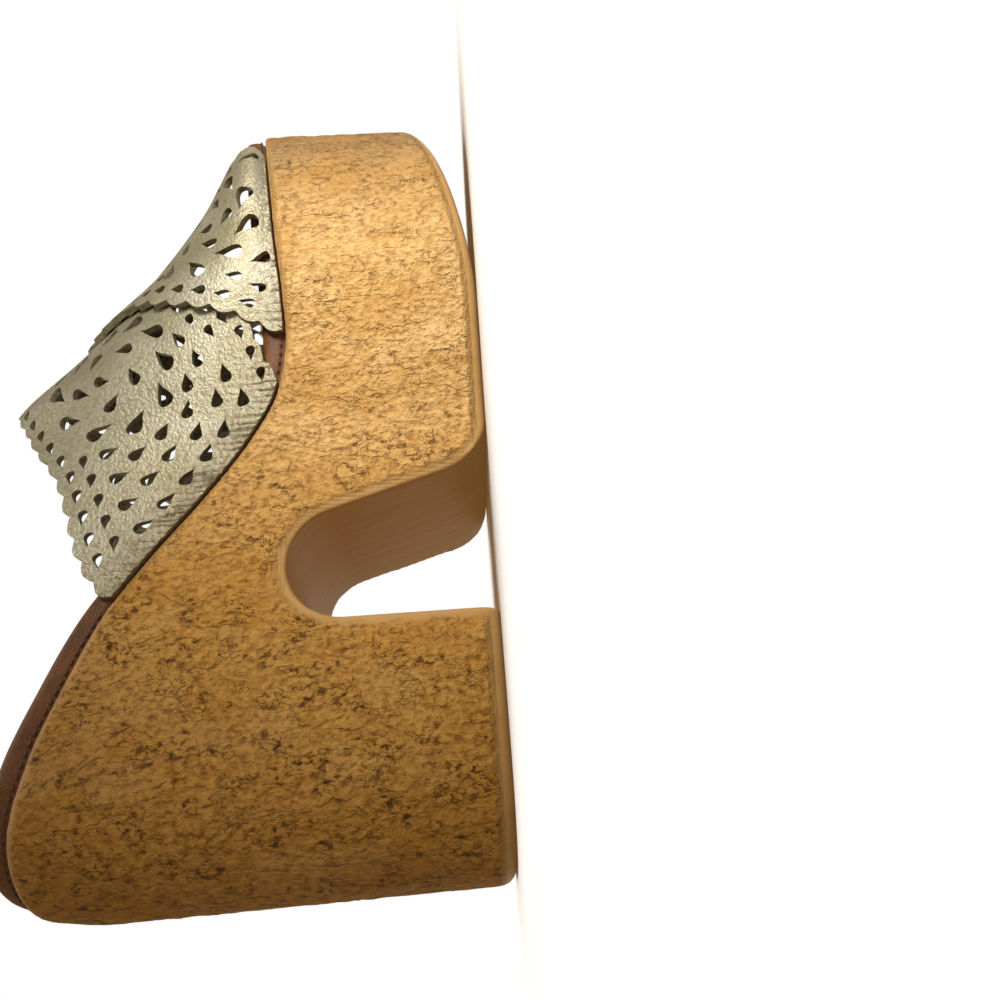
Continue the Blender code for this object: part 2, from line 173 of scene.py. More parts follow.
# share of length; heel rise and toe spring of the sole's top, each as a share of its own size
PROFILE = table(
    "at rise spring",
    (0.00, 1.000, 0.00),
    (0.06, 1.000, 0.00),
    (0.15, 0.950, 0.00),
    (0.22, 0.858, 0.00),
    (0.29, 0.737, 0.00),
    (0.35, 0.575, 0.00),
    (0.41, 0.378, 0.00),
    (0.48, 0.170, 0.00),
    (0.54, 0.040, 0.00),
    (0.60, 0.000, 0.00),
    (0.65, 0.000, 0.04),
    (0.72, 0.000, 0.17),
    (0.80, 0.000, 0.32),
    (0.88, 0.000, 0.53),
    (0.94, 0.000, 0.74),
    (1.00, 0.000, 1.00),
)

# share of length; height of the straps' arch over the sole as a share of the instep, how full it is,
# and how far its ridge leans to the outer side as a share of the ball width
ARCH = table(
    "at height fullness lean",
    (0.30, 0.840, 2.40, 0.00),
    (0.43, 0.910, 2.35, 0.00),
    (0.56, 1.000, 2.20, 0.03),
    (0.64, 0.850, 1.85, 0.06),
    (0.73, 0.633, 1.38, 0.08),
    (0.82, 0.378, 1.28, 0.08),
    (0.88, 0.231, 1.28, 0.06),
    (1.00, 0.130, 1.28, 0.00),
)

# share of the way over the foot from the strap's toe end to its heel end;
# rear and front edge as shares of the length
UPPER_STRAP = table(
    "over rear front",
    (0.00, 0.604, 0.860),
    (0.05, 0.627, 0.857),
    (0.12, 0.646, 0.853),
    (0.27, 0.671, 0.841),
    (0.37, 0.670, 0.813),
    (0.50, 0.630, 0.762),
    (0.57, 0.603, 0.752),
    (0.64, 0.562, 0.742),
    (0.76, 0.468, 0.730),
    (0.84, 0.405, 0.700),
    (0.90, 0.360, 0.645),
    (0.95, 0.330, 0.583),
    (1.00, 0.300, 0.528),
)
LOWER_STRAP = table(
    "over rear front",
    (0.00, 0.604, 0.852),
    (0.05, 0.607, 0.858),
    (0.12, 0.628, 0.856),
    (0.27, 0.655, 0.840),
    (0.37, 0.655, 0.810),
    (0.50, 0.624, 0.760),
    (0.57, 0.603, 0.748),
    (0.64, 0.574, 0.735),
    (0.76, 0.500, 0.710),
    (0.84, 0.447, 0.690),
    (0.89, 0.405, 0.660),
    (0.955, 0.346, 0.620),
    (1.00, 0.306, 0.547),
)

# share of the way over the foot and across the strap;
# how many drops are in the two rings round that point, and the rings' radii
MEDALLIONS = table(
    "over across outer outer_radius inner inner_radius",
    (0.16, 0.50, 10, 0.0155, 5, 0.0078),
    (0.48, 0.50, 8, 0.0100, 0, 0.0078),
    (0.82, 0.48, 10, 0.0165, 5, 0.0083),
)


def smooth(rows, column, at, key="at", flowing=False):
    """The column's value at this place. Unless it is flowing, the curve never overshoots the rows."""
    xs = [row[key] for row in rows]
    ys = [row[column] for row in rows]
    at = min(max(at, xs[0]), xs[-1])
    steps = [(ys[i + 1] - ys[i]) / (xs[i + 1] - xs[i]) for i in range(len(xs) - 1)]
    slopes = [steps[0]]
    for before, after in zip(steps, steps[1:]):
        if flowing:
            slopes.append((before + after) / 2)
        else:
            slopes.append(0.0 if before * after <= 0 else 2 * before * after / (before + after))
    slopes.append(steps[-1])
    i = max(j for j in range(len(steps)) if xs[j] <= at)
    width = xs[i + 1] - xs[i]
    t = (at - xs[i]) / width
    start = (1 + 2 * t) * (1 - t) ** 2 * ys[i] + t * (1 - t) ** 2 * width * slopes[i]
    end = t * t * (3 - 2 * t) * ys[i + 1] + t * t * (t - 1) * width * slopes[i + 1]
    return start + end


def end_round(inside, radius):
    """1 away from an end, falling to 0 at it as a round end does."""
    if inside >= radius:
        return 1.0
    return (1 - (1 - max(inside, 0.0) / radius) ** ROUNDNESS) ** (1 / ROUNDNESS)


def half_width(x):
    ends = end_round(x, HEEL_ROUND) * end_round(LENGTH - x, TOE_ROUND)
    return BALL_WIDTH * smooth(OUTLINE, "half", x / LENGTH, flowing=True) * ends


def middle(x):
    return BALL_WIDTH * smooth(OUTLINE, "shift", x / LENGTH, flowing=True)


def sole_top(x):
    at = x / LENGTH
    return PLATFORM + HEEL_RISE * smooth(PROFILE, "rise", at) + TOE_SPRING * smooth(PROFILE, "spring", at)


def sole_bottom(x):
    past = max(0.0, x / LENGTH - GROUND_FLAT_END) / (1 - GROUND_FLAT_END)
    return GROUND_SPRING * past**GROUND_CURVE


def heel_lean(x, z):
    """How far the heel's back lies in front of its rearmost place, more at its top than at the ground."""
    near_back = max(0.0, 1 - x / HEEL_LEAN_REACH)
    below = max(0.0, 1 - z / HEEL_LEAN_FROM)
    above = max(0.0, z - HEEL_LEAN_FROM) / HEEL_LEAN_HEIGHT
    return near_back * (HEEL_HOLLOW * below + HEEL_LEAN * above**2)


def outline_point(index, side):
    """A point of the sole's outline, at stations that crowd together towards both round ends."""
    turn = END_TURN + (math.pi - 2 * END_TURN) * index / STATIONS
    x = LENGTH * (1 - math.cos(turn)) / 2
    return Vector((x, middle(x) + side * half_width(x)))


def edge_point(index, side, inset):
    """A point of the sole's outline at this station, moved in from it square to the outline."""
    along = (outline_point(index + 0.1, side) - outline_point(index - 0.1, side)).normalized()
    outward = Vector((-along.y, along.x)) * side
    return outline_point(index, side) - outward * inset


def new_mesh(name, points, faces):
    mesh = bpy.data.meshes.new(name)
    mesh.from_pydata([tuple(point) for point in points], [], faces)
    mesh.update()
    made = bpy.data.objects.new(name, mesh)
    bpy.context.scene.collection.objects.link(made)
    return made


def loft(name, sections):
    """A closed body through sections of equally many points, each a loop seen against +X as clockwise."""
    count = len(sections[0])
    points = [point for section in sections for point in section]
    faces = []
    for row in range(len(sections) - 1):
        for i in range(count):
            near, far = row * count, (row + 1) * count
            faces.append((near + i, far + i, far + (i + 1) % count, near + (i + 1) % count))
    last = len(points) - count
    for i in range(count // 2):
        rung = list(dict.fromkeys((i, i + 1, count - 2 - i, count - 1 - i)))
        if len(rung) > 2:
            faces.append(tuple(rung))
            faces.append(tuple(last + j for j in reversed(rung)))
    return new_mesh(name, points, faces)


def place_on_model(piece):
    """Moves a piece from the shoe's own coordinates, X from the heel's back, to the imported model's."""
    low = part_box("cork_sole")[0]
    sides = [middle(x) - half_width(x) for x in (LENGTH * i / 400 for i in range(401))]
    rear = LENGTH * (1 - math.cos(END_TURN)) / 2
    piece.data.transform(Matrix.Translation((low[0] - rear, low[1] - min(sides), low[2])))


def work_out(piece):
    """Makes the piece a plain mesh, with its modifiers worked out."""
    graph = bpy.context.evaluated_depsgraph_get()
    mesh = bpy.data.meshes.new_from_object(piece.evaluated_get(graph))
    piece.modifiers.clear()
    old, piece.data = piece.data, mesh
    bpy.data.meshes.remove(old)


# Cork block


def side_height(x, share):
    """A place up the sole's side, from its rounded foot at 0 to its rounded top edge at 1."""
    bottom = sole_bottom(x)
    return bottom + GROUND_EDGE + share * (sole_top(x) - TOP_EDGE - bottom - GROUND_EDGE)


def sole_section(index):
    """One loop round the sole: up the inner side, over the top, down the outer side."""

    def at(side, inset, height_of):
        point = edge_point(index, side, inset)
        z = height_of(min(max(point.x, 0.0), LENGTH))
        return Vector((point.x + heel_lean(point.x, z), point.y, z))

    rows = []
    for share in (0.0, 0.25, 0.5, 0.75):
        turn = math.pi / 2 * share
        rise = GROUND_EDGE * (1 - math.cos(turn))
        rows.append((GROUND_EDGE * (1 - math.sin(turn)), lambda x, rise=rise: sole_bottom(x) + rise))
    for share in [i / 10 for i in range(11)]:
        rows.append((0.0, lambda x, share=share: side_height(x, share)))
    rows.append((TOP_EDGE, sole_top))
    inner = [at(-1, inset, height_of) for inset, height_of in rows]
    outer = [at(1, inset, height_of) for inset, height_of in rows]
    return inner + outer[::-1]


def notch_outline(steps=40):
    """The notch from the side: an upright wall, a round end, a leaning wall and a flare on the ground."""
    centre = Vector((NOTCH_WALL + NOTCH_RADIUS, NOTCH_HEIGHT - NOTCH_RADIUS))
    below = -GROUND_EDGE
    points = [Vector((NOTCH_WALL, below))]
    for step in range(steps + 1):
        turn = math.pi - (math.pi - NOTCH_LEAN) * step / steps
        points.append(centre + NOTCH_RADIUS * Vector((math.cos(turn), math.sin(turn))))
    square = Vector((math.cos(NOTCH_LEAN), math.sin(NOTCH_LEAN)))
    down = Vector((math.sin(NOTCH_LEAN), -math.cos(NOTCH_LEAN)))
    last = points[-1]
    run = (last.y + (square.y - 1) * NOTCH_FLARE) / -down.y
    flare = last + down * run + square * NOTCH_FLARE
    for step in range(steps + 1):
        turn = math.pi + NOTCH_LEAN + (math.pi / 2 - NOTCH_LEAN) * step / steps
        points.append(flare + NOTCH_FLARE * Vector((math.cos(turn), math.sin(turn))))
    points.append(Vector((flare.x, below)))
    return points


def make_notch_cutter():
    curve = bpy.data.curves.new("notch_outline", "CURVE")
    curve.dimensions = "2D"
    curve.fill_mode = "BOTH"
    curve.extrude = BALL_WIDTH
    outline = notch_outline()
    spline = curve.splines.new("POLY")
    spline.points.add(len(outline) - 1)
    for point, place in zip(spline.points, outline):
        point.co = (place.x, place.y, 0, 1)
    spline.use_cyclic_u = True
    drawn = bpy.data.objects.new("notch_outline", curve)
    cutter = bpy.data.objects.new("notch_cutter", bpy.data.meshes.new_from_object(drawn))
    bpy.data.objects.remove(drawn)
    cutter.data.transform(Matrix.Rotation(math.pi / 2, 4, "X"))
    bpy.context.scene.collection.objects.link(cutter)
    return cutter


def step_up(low, high, value):
    share = min(max((value - low) / (high - low), 0.0), 1.0)
    return share * share * (3 - 2 * share)


def notch_distance(outline, x, z):
    """Distance in the side view from the notch's outline."""
    best = 1.0
    for a, b in zip(outline, outline[1:]):
        along = b - a
        t = min(max((Vector((x, z)) - a).dot(along) / along.length_squared, 0.0), 1.0)
        best = min(best, (Vector((x, z)) - a - along * t).length)
    return best


def cork_masks(block):
    """Marks the smooth sanded border, the notch's walls, and the flat top and bottom."""
    outline = notch_outline(8)
    low = NOTCH_WALL - NOTCH_REACH
    high = max(point.x for point in outline) + NOTCH_REACH
    mesh = block.data
    cover = mesh.attributes.new("cover", "FLOAT", "POINT")
    wall = mesh.attributes.new("notch_wall", "FLOAT", "POINT")
    normals = mesh.vertex_normals
    for i, vertex in enumerate(mesh.vertices):
        x, y, z = vertex.co
        at = min(max(x, 0.0), LENGTH)
        normal = normals[i].vector
        edge = min(z - sole_bottom(at) - GROUND_EDGE * 0.5, sole_top(at) - z)
        near = low < x < high and z < NOTCH_HEIGHT + NOTCH_REACH
        distance = notch_distance(outline, x, z) if near else 1.0
        side = half_width(at) - abs(y - middle(at))
        in_notch = distance < WALL_DEPTH and side > WALL_RIM
        wall.data[i].value = 1.0 if in_notch else 0.0
        upright = 1 - step_up(0.55, 0.9, abs(normal.z))
        cover.data[i].value = 0.0
        if not in_notch:
            rim = step_up(RIM_BORDER * 0.2, RIM_BORDER * 1.6, edge)
            off_notch = step_up(NOTCH_BORDER * 0.4, NOTCH_BORDER * 1.3, distance)
            cover.data[i].value = upright * rim * off_notch


def relief(place):
    """Height of the cork's surface: wrinkles drawn out up and down, deeper splits, and some calm flakes."""
    x, y, z = place
    stretched = Vector((x * 330, y * 330, z * 235))
    bent = stretched + 0.5 * noise.noise_vector(stretched * 0.55)
    wrinkle = noise.fractal(bent, 0.75, 2.1, 3)
    drawn = Vector((x * 150 + 7, y * 150, z * 62)) + 0.5 * noise.noise_vector(stretched * 0.4)
    split = abs(noise.noise(drawn))
    calm = step_up(-0.25, 0.20, noise.noise(Vector((x * 62, y * 62, z * 40 + 3))))
    rough = step_up(-0.10, 0.30, noise.noise(Vector((x * 40, y * 40 + 9, z * 28))))
    raised = WRINKLE_HEIGHT * (0.3 + 0.7 * calm) * wrinkle
    return raised - SPLIT_DEPTH * rough * (1 - step_up(0.0, 0.055, split))


def make_cork_block():
    block = loft("cork_block", [sole_section(i) for i in range(STATIONS + 1)])
    cutter = make_notch_cutter()
    cut = block.modifiers.new("notch", "BOOLEAN")
    cut.operation = "DIFFERENCE"
    cut.solver = "EXACT"
    cut.object = cutter
    remesh = block.modifiers.new("even_mesh", "REMESH")
    remesh.mode = "VOXEL"
    remesh.voxel_size = CORK_VOXEL
    soften = block.modifiers.new("soften", "SMOOTH")
    soften.factor = 0.5
    soften.iterations = 3
    work_out(block)
    bpy.data.objects.remove(cutter)
    cork_masks(block)
    mesh = block.data
    cover = mesh.attributes["cover"].data
    normals = [entry.vector.copy() for entry in mesh.vertex_normals]
    for i, vertex in enumerate(mesh.vertices):
        if cover[i].value > 0:
            vertex.co += normals[i] * cover[i].value * relief(vertex.co)
    mesh.update()
    mesh.shade_smooth()
    place_on_model(block)
    return block


# Footbed


def footbed_section(index):
    """One loop round the footbed: a groove at its foot, a full side, a rounded edge and the dished top."""

    def at(side, inset, rise):
        point = edge_point(index, side, FOOTBED_INSET + inset)
        z = sole_top(min(max(point.x, 0.0), LENGTH)) + SEAT_GAP + rise
        return Vector((point.x + heel_lean(point.x, z), point.y, z))

    rows = [(GROOVE_DEPTH, 0.0), (GROOVE_DEPTH, GROOVE_HEIGHT * 0.3)]
    rows += [(GROOVE_DEPTH * 0.3, GROOVE_HEIGHT * 0.7), (0.0, GROOVE_HEIGHT)]
    rows.append((-FOOTBED_SWELL, (GROOVE_HEIGHT + FOOTBED_THICKNESS - FOOTBED_EDGE) / 2))
    for step in range(7):
        turn = math.pi / 2 * step / 6
        rise = FOOTBED_THICKNESS - FOOTBED_EDGE * (1 - math.sin(turn))
        rows.append((FOOTBED_EDGE * (1 - math.cos(turn)), rise))
    inner = [at(-1, inset, rise) for inset, rise in rows]
    outer = [at(1, inset, rise) for inset, rise in rows]
    over = []
    for share in [i / 12 for i in range(1, 12)]:
        point = inner[-1].lerp(outer[-1], share)
        floor = sole_top(min(max(point.x, 0.0), LENGTH)) + SEAT_GAP
        ends = end_round(point.x, HEEL_ROUND) * end_round(LENGTH - point.x, TOE_ROUND)
        dish = FOOTBED_DISH * ends * math.sin(math.pi * share) ** 2
        over.append(Vector((point.x, point.y, floor + FOOTBED_THICKNESS - dish)))
    return inner + over + outer[::-1]


def make_footbed_cover():
    cover = loft("footbed_cover", [footbed_section(i) for i in range(STATIONS + 1)])
    cover.data.shade_smooth()
    cover.data.set_sharp_from_angle(angle=math.radians(50))
    place_on_model(cover)
    return cover


def stitch_tree():
    """Short pieces of thread at even steps along a guide line, joined and given their material."""
    tree = bpy.data.node_groups.new("stitch_row", "GeometryNodeTree")
    sizes = ("Pitch", "Stitch Length", "Thread Thickness")
    tree.interface.new_socket("Guide", in_out="INPUT", socket_type="NodeSocketGeometry")
    for label in sizes:
        tree.interface.new_socket(label, in_out="INPUT", socket_type="NodeSocketFloat")
    tree.interface.new_socket("Thread", in_out="INPUT", socket_type="NodeSocketMaterial")
    tree.interface.new_socket("Stitches", in_out="OUTPUT", socket_type="NodeSocketGeometry")
    nodes = Nodes(tree)
    given = nodes.add("NodeGroupInput").outputs
    line = nodes.add("GeometryNodeMeshToCurve", {"Mesh": given["Guide"]}).outputs["Curve"]
    values = {"Curve": line, "Length": given["Pitch"]}
    steps = nodes.add("GeometryNodeCurveToPoints", values, mode="LENGTH").outputs
    ball = nodes.add("GeometryNodeMeshUVSphere", {"Segments": 8, "Rings": 6, "Radius": 0.5}).outputs["Mesh"]
    values = {"Vector": steps["Tangent"]}
    turned = nodes.add("FunctionNodeAlignRotationToVector", values, axis="X").outputs["Rotation"]
    sides = {"X": given["Stitch Length"], "Y": given["Thread Thickness"], "Z": given["Thread Thickness"]}
    size = nodes.add("ShaderNodeCombineXYZ", sides).outputs["Vector"]
    values = {"Points": steps["Points"], "Instance": ball, "Rotation": turned, "Scale": size}
    placed = nodes.add("GeometryNodeInstanceOnPoints", values).outputs["Instances"]
    real = nodes.add("GeometryNodeRealizeInstances", {"Geometry": placed}).outputs["Geometry"]
    values = {"Geometry": real, "Material": given["Thread"]}
    dressed = nodes.add("GeometryNodeSetMaterial", values).outputs["Geometry"]
    made = nodes.add("NodeGroupOutput")
    tree.links.new(dressed, made.inputs["Stitches"])
    return tree


def in_strap_foot(x):
    """Whether a strap's foot stands beside the footbed here."""
    feet = (UPPER_STRAP[0], UPPER_STRAP[-1])
    return any(foot["rear"] - STITCH_CLEAR < x / LENGTH < foot["front"] + STITCH_CLEAR for foot in feet)


def make_footbed_stitches(thread):
    """A row of stitches in the groove at the footbed's foot, wherever no strap covers it."""
    points, edges = [], []
    for side in (-1, 1):
        previous = None
        for index in range(STATIONS + 1):
            place = edge_point(index, side, FOOTBED_INSET - STITCH_OUT)
            x = min(max(place.x, 0.0), LENGTH)
            if in_strap_foot(x):
                previous = None
                continue
            z = sole_top(x) + SEAT_GAP + STITCH_HEIGHT
            points.append(Vector((place.x + heel_lean(place.x, z), place.y, z)))
            if previous is not None:
                edges.append((previous, len(points) - 1))
            previous = len(points) - 1
    mesh = bpy.data.meshes.new("footbed_stitches")
    mesh.from_pydata([tuple(point) for point in points], edges, [])
    row = bpy.data.objects.new("footbed_stitches", mesh)
    bpy.context.scene.collection.objects.link(row)
    tree = stitch_tree()
    laid = row.modifiers.new("stitch_row", "NODES")
    laid.node_group = tree
    sizes = {
        "Pitch": STITCH_PITCH,
        "Stitch Length": STITCH_LENGTH,
        "Thread Thickness": THREAD_THICKNESS,
        "Thread": thread,
    }
    for item in tree.interface.items_tree:
        if item.in_out == "INPUT" and item.name in sizes:
            laid[item.identifier] = sizes[item.name]
    work_out(row)
    row.data.shade_smooth()
    place_on_model(row)
    return row


# Straps


def arch_point(x, turn, out=0.0):
    """A point of the form under the straps: turn runs from 0 at the inner edge to 1 at the outer edge."""

    def on_form(x, turn):
        base = half_width(x) - FOOTBED_INSET + SEAT_GAP
        height = INSTEP * smooth(ARCH, "height", x / LENGTH)
        fullness = smooth(ARCH, "fullness", x / LENGTH)
        rise = height * math.sin(math.pi * min(max(turn, 0.0), 1.0)) ** (2 / fullness)
        above = max(rise - STRAIGHT_WALL, 0.0) / (height - STRAIGHT_WALL)
        across = max(1 - above**fullness, 0.0) ** (1 / fullness)
        lean = BALL_WIDTH * smooth(ARCH, "lean", x / LENGTH) * above**2
        side = -1 if turn < 0.5 else 1
        return Vector((x, middle(x) + side * base * across + lean, sole_top(x) + SEAT_GAP + rise))

    here = on_form(x, turn)
    if not out:
        return here
    step = 0.004
    low, high = max(turn - step, 0.0), min(turn + step, 1.0)
    around = on_form(x, high) - on_form(x, low)
    along = on_form(x + 0.001, turn) - on_form(x - 0.001, turn)
    if turn < step or turn > 1 - step:
        around = Vector((0, 0, 1 if turn < step else -1))
        along.z = 0
    return here + out * along.cross(around).normalized()


def strap_x(strap, over, across):
    """Where this share of a strap's width lies along the shoe."""
    rear = smooth(strap, "rear", over, "over")
    front = smooth(strap, "front", over, "over")
    return LENGTH * (rear + (front - rear) * across)


def strap_turn(strap, over):
    """The upper strap's toe end is on the inner side of the shoe, the lower strap's on the outer side."""
    return over if strap is UPPER_STRAP else 1 - over


def edge_run(strap, across, count):
    """A strap edge as (over, x) with its scallops."""
    fine = 200
    steps = [i / fine for i in range(fine + 1)]
    places = [arch_point(strap_x(strap, over, across), strap_turn(strap, over)) for over in steps]
    lengths = [0.0]
    for before, after in zip(places, places[1:]):
        lengths.append(lengths[-1] + (after - before).length)
    scallops = max(1, round(lengths[-1] / SCALLOP_PITCH))
    outward = -1 if across == 0 else 1
    run = []
    index = 0
    for i in range(scallops * count + 1):
        wanted = lengths[-1] * i / (scallops * count)
        while index < fine - 1 and lengths[index + 1] < wanted:
            index += 1
        part = (wanted - lengths[index]) / (lengths[index + 1] - lengths[index])
        over = (index + part) / fine
        bulge = SCALLOP_DEPTH * abs(math.sin(math.pi * i / count))
        run.append((over, strap_x(strap, over, across) + outward * bulge))
    return run


def drop(length, bend, count):
    """A curled drop round (0, 0), with a round head and a tail drawn out along +x, as points in metres."""
    points = []
    for i in range(count):
        turn = 2 * math.pi * i / count
        x = math.cos(turn)
        y = DROP_FULLNESS * math.sin(turn) * abs(math.sin(turn / 2)) ** DROP_TAPER
        points.append(length * Vector((x / 2, y + bend * DROP_CURL * (x + 1) ** 2)))
    return points


def local_sizes(strap, over, x):
    """Metres on the form for one metre of x and for one whole way over, along that line and square to it."""
    step = 0.002
    turn = strap_turn(strap, over)
    low, high = max(turn - step, 0.0), min(turn + step, 1.0)
    along = (arch_point(x + step, turn) - arch_point(x - step, turn)) / (2 * step)
    around = (arch_point(x, high) - arch_point(x, low)) / (high - low)
    if strap is LOWER_STRAP:
        around = -around
    slant = around.dot(along.normalized())
    square = (around - slant * along.normalized()).length
    return along.length, slant, square


def place_drop(outline, strap, over, x, aim):
    """The teardrop on the strap's pattern, undistorted where it lies on the form."""
    along, slant, square = local_sizes(strap, over, x)
    placed = []
    for point in outline:
        px = point.x * math.cos(aim) - point.y * math.sin(aim)
        py = point.x * math.sin(aim) + point.y * math.cos(aim)
        placed.append((over + py / square, x + (px - slant * py / square) / along))
    return placed


class Perforations:
    """The drops punched through one strap, with the places of their middles on the form."""

    def __init__(self, strap):
        self.strap = strap
        self.outlines = []
        self.middles = []

    def on_form(self, over, x):
        return arch_point(x, strap_turn(self.strap, over))

    def clear(self, place, distance):
        return all((place - other).length > distance for other in self.middles)

    def add(self, length, bend, over, x, aim, distance, count=20):
        _, slant, square = local_sizes(self.strap, over, x)
        margin = (length * 0.5 + END_CLEAR) / math.hypot(slant, square)
        place = self.on_form(over, x)
        if margin < over < 1 - margin and self.clear(place, distance):
            self.outlines.append(place_drop(drop(length, bend, count), self.strap, over, x, aim))
            self.middles.append(place)


def medallion_drops(holes):
    strap = holes.strap
    for medallion in MEDALLIONS:
        over, x = medallion["over"], strap_x(strap, medallion["over"], medallion["across"])
        for ring, length, offset in (("outer", LARGE_DROP, 0.5), ("inner", SMALL_DROP, 0.0)):
            for i in range(medallion[ring]):
                turn = 2 * math.pi * (i + offset) / medallion[ring]
                radius = medallion[ring + "_radius"]
                centre = [Vector((radius * math.cos(turn), radius * math.sin(turn)))]
                ((at_over, at_x),) = place_drop(centre, strap, over, x, 0.0)
                holes.add(length, 1.0, at_over, at_x, turn + math.pi + 0.5, 0.0)


def inset_x(strap, over, across, inset):
    """Where a line this far inside a strap's edge lies along the shoe."""
    edge = strap_x(strap, over, across)
    other = strap_x(strap, over, 1 - across)
    turn = strap_turn(strap, over)
    width = (arch_point(other, turn) - arch_point(edge, turn)).length
    return edge + (other - edge) * inset / width


def border_drops(holes):
    """Two staggered rows of small slanting drops along each scalloped edge."""
    fine = 300
    for across in (0, 1):
        for inset, offset in BORDER_ROWS:
            slant = math.radians(150 if across else 30)
            overs = [i / fine for i in range(fine + 1)]
            xs = [inset_x(holes.strap, over, across, inset) for over in overs]
            places = [holes.on_form(over, x) for over, x in zip(overs, xs)]
            travelled, due = 0.0, SCALLOP_PITCH * (0.5 + offset)
            for i in range(fine):
                step = (places[i + 1] - places[i]).length
                while travelled + step >= due:
                    part = (due - travelled) / step
                    over = overs[i] + part / fine
                    x = xs[i] + part * (xs[i + 1] - xs[i])
                    along, slant, square = local_sizes(holes.strap, over, x)
                    heading = math.atan2(square / fine, along * (xs[i + 1] - xs[i]) + slant / fine)
                    holes.add(BORDER_DROP, 0.6, over, x, heading + slant, BORDER_CLEAR)
                    due += SCALLOP_PITCH
                travelled += step


def filler_drops(holes):
    """Smaller drops where the middle of the strap still has room, swirling round the nearest medallion."""
    strap = holes.strap
    hearts = [(m["over"], strap_x(strap, m["over"], m["across"])) for m in MEDALLIONS]
    for i in range(90):
        over = i / 89
        for j in range(30):
            x = strap_x(strap, over, (j + 0.5 * (i % 2)) / 29)
            rear = inset_x(strap, over, 0, FILLER_INSET)
            front = inset_x(strap, over, 1, FILLER_INSET)
            if not rear < x < front:
                continue
            place = holes.on_form(over, x)
            if not holes.clear(place, FILLER_CLEAR):
                continue
            heart = min(hearts, key=lambda at: (holes.on_form(*at) - place).length)
            along, slant, square = local_sizes(strap, over, x)
            away = over - heart[0]
            bearing = math.atan2(away * square, (x - heart[1]) * along + slant * away)
            holes.add(FILLER_DROP, 0.8, over, x, bearing + math.pi + 0.9, FILLER_CLEAR)


def flat(place):
    """A place of the pattern on a flat sheet of about the strap's own proportions."""
    return Vector((place[0] * SHEET_WAY, place[1]))


def holds(loop, point):
    inside = False
    for a, b in zip(loop, loop[1:] + loop[:1]):
        if (a.y > point.y) != (b.y > point.y):
            if point.x < a.x + (point.y - a.y) * (b.x - a.x) / (b.y - a.y):
                inside = not inside
    return inside


def over_lift(over):
    """How far the upper strap stands off the form so that it passes over the lower one."""
    return (STRAP_WALL + STRAP_GAP) * step_up(0.0, LIFT_TURN, min(over, 1 - over))


def strap_sheet(strap):
    """(points of the flat pattern, triangles): the strap's outline with its drops cut out."""
    holes = Perforations(strap)
    medallion_drops(holes)
    border_drops(holes)
    filler_drops(holes)
    toe_foot = [(0.0, strap_x(strap, 0, i / FOOT_STEPS)) for i in range(1, FOOT_STEPS)]
    heel_foot = [(1.0, strap_x(strap, 1, i / FOOT_STEPS)) for i in range(1, FOOT_STEPS)]
    outline = edge_run(strap, 0, 10) + heel_foot + edge_run(strap, 1, 10)[::-1] + toe_foot[::-1]
    loops = [[flat(place) for place in loop] for loop in [outline] + holes.outlines]
    middles = [sum(loop, Vector((0, 0))) / len(loop) for loop in loops[1:]]
    reach = [max((point - centre).length for point in loop) for loop, centre in zip(loops[1:], middles)]
    points, edges = [], []
    for loop in loops:
        start = len(points)
        points += loop
        edges += [(start + i, start + (i + 1) % len(loop)) for i in range(len(loop))]
    near_foot = [GATHER_STEP * i / SHEET_WAY for i in range(1, GATHER_ROWS + 1)]
    rows = int((1 - 2 * near_foot[-1]) * SHEET_WAY / GRID_STEP)
    between = [near_foot[-1] + (1 - 2 * near_foot[-1]) * i / rows for i in range(1, rows)]
    for i, over in enumerate(near_foot + between + [1 - step for step in reversed(near_foot)]):
        low, high = strap_x(strap, over, 0) + EDGE_MARGIN, strap_x(strap, over, 1) - EDGE_MARGIN
        gathered = min(over, 1 - over) < near_foot[-1] + 1e-9
        count = int((high - low) / (GATHER_PITCH / 4 if gathered else GRID_STEP))
        for j in range(count + 1):
            place = flat((over, low + (high - low) * (j + 0.5 * (i % 2)) / (count + 1)))
            near = [k for k, centre in enumerate(middles) if (place - centre).length < reach[k] + 0.0010]
            if all((place - point).length > HOLE_MARGIN for k in near for point in loops[k + 1]):
                if not any(holds(loops[k + 1], place) for k in near):
                    points.append(place)
    sheet, _, triangles, _, _, _ = delaunay_2d_cdt(points, edges, [], 2, 1e-7)
    kept = []
    for triangle in triangles:
        centre = sum((sheet[i] for i in triangle), Vector((0, 0))) / len(triangle)
        near = [k for k, at in enumerate(middles) if (centre - at).length < reach[k] + 0.0001]
        if not any(holds(loops[k + 1], centre) for k in near):
            kept.append(triangle)
    return sheet, kept


def ripple(x, over):
    """Small gathers where the leather is pulled under the footbed, and a slight unevenness all over."""
    from_foot = min(over, 1 - over) * SHEET_WAY
    drift = noise.noise(Vector((x * 160, from_foot * 90, 2.0)))
    fold = math.sin(2 * math.pi * (x / GATHER_PITCH + 0.8 * drift + from_foot * 60)) * (0.65 + 0.6 * drift)
    fade = math.exp(-((from_foot / GATHER_REACH) ** 2))
    uneven = UNEVEN * noise.noise(Vector((x * 95, over * SHEET_WAY * 95, 5.0)))
    return GATHER_DEPTH * fade * fold + uneven


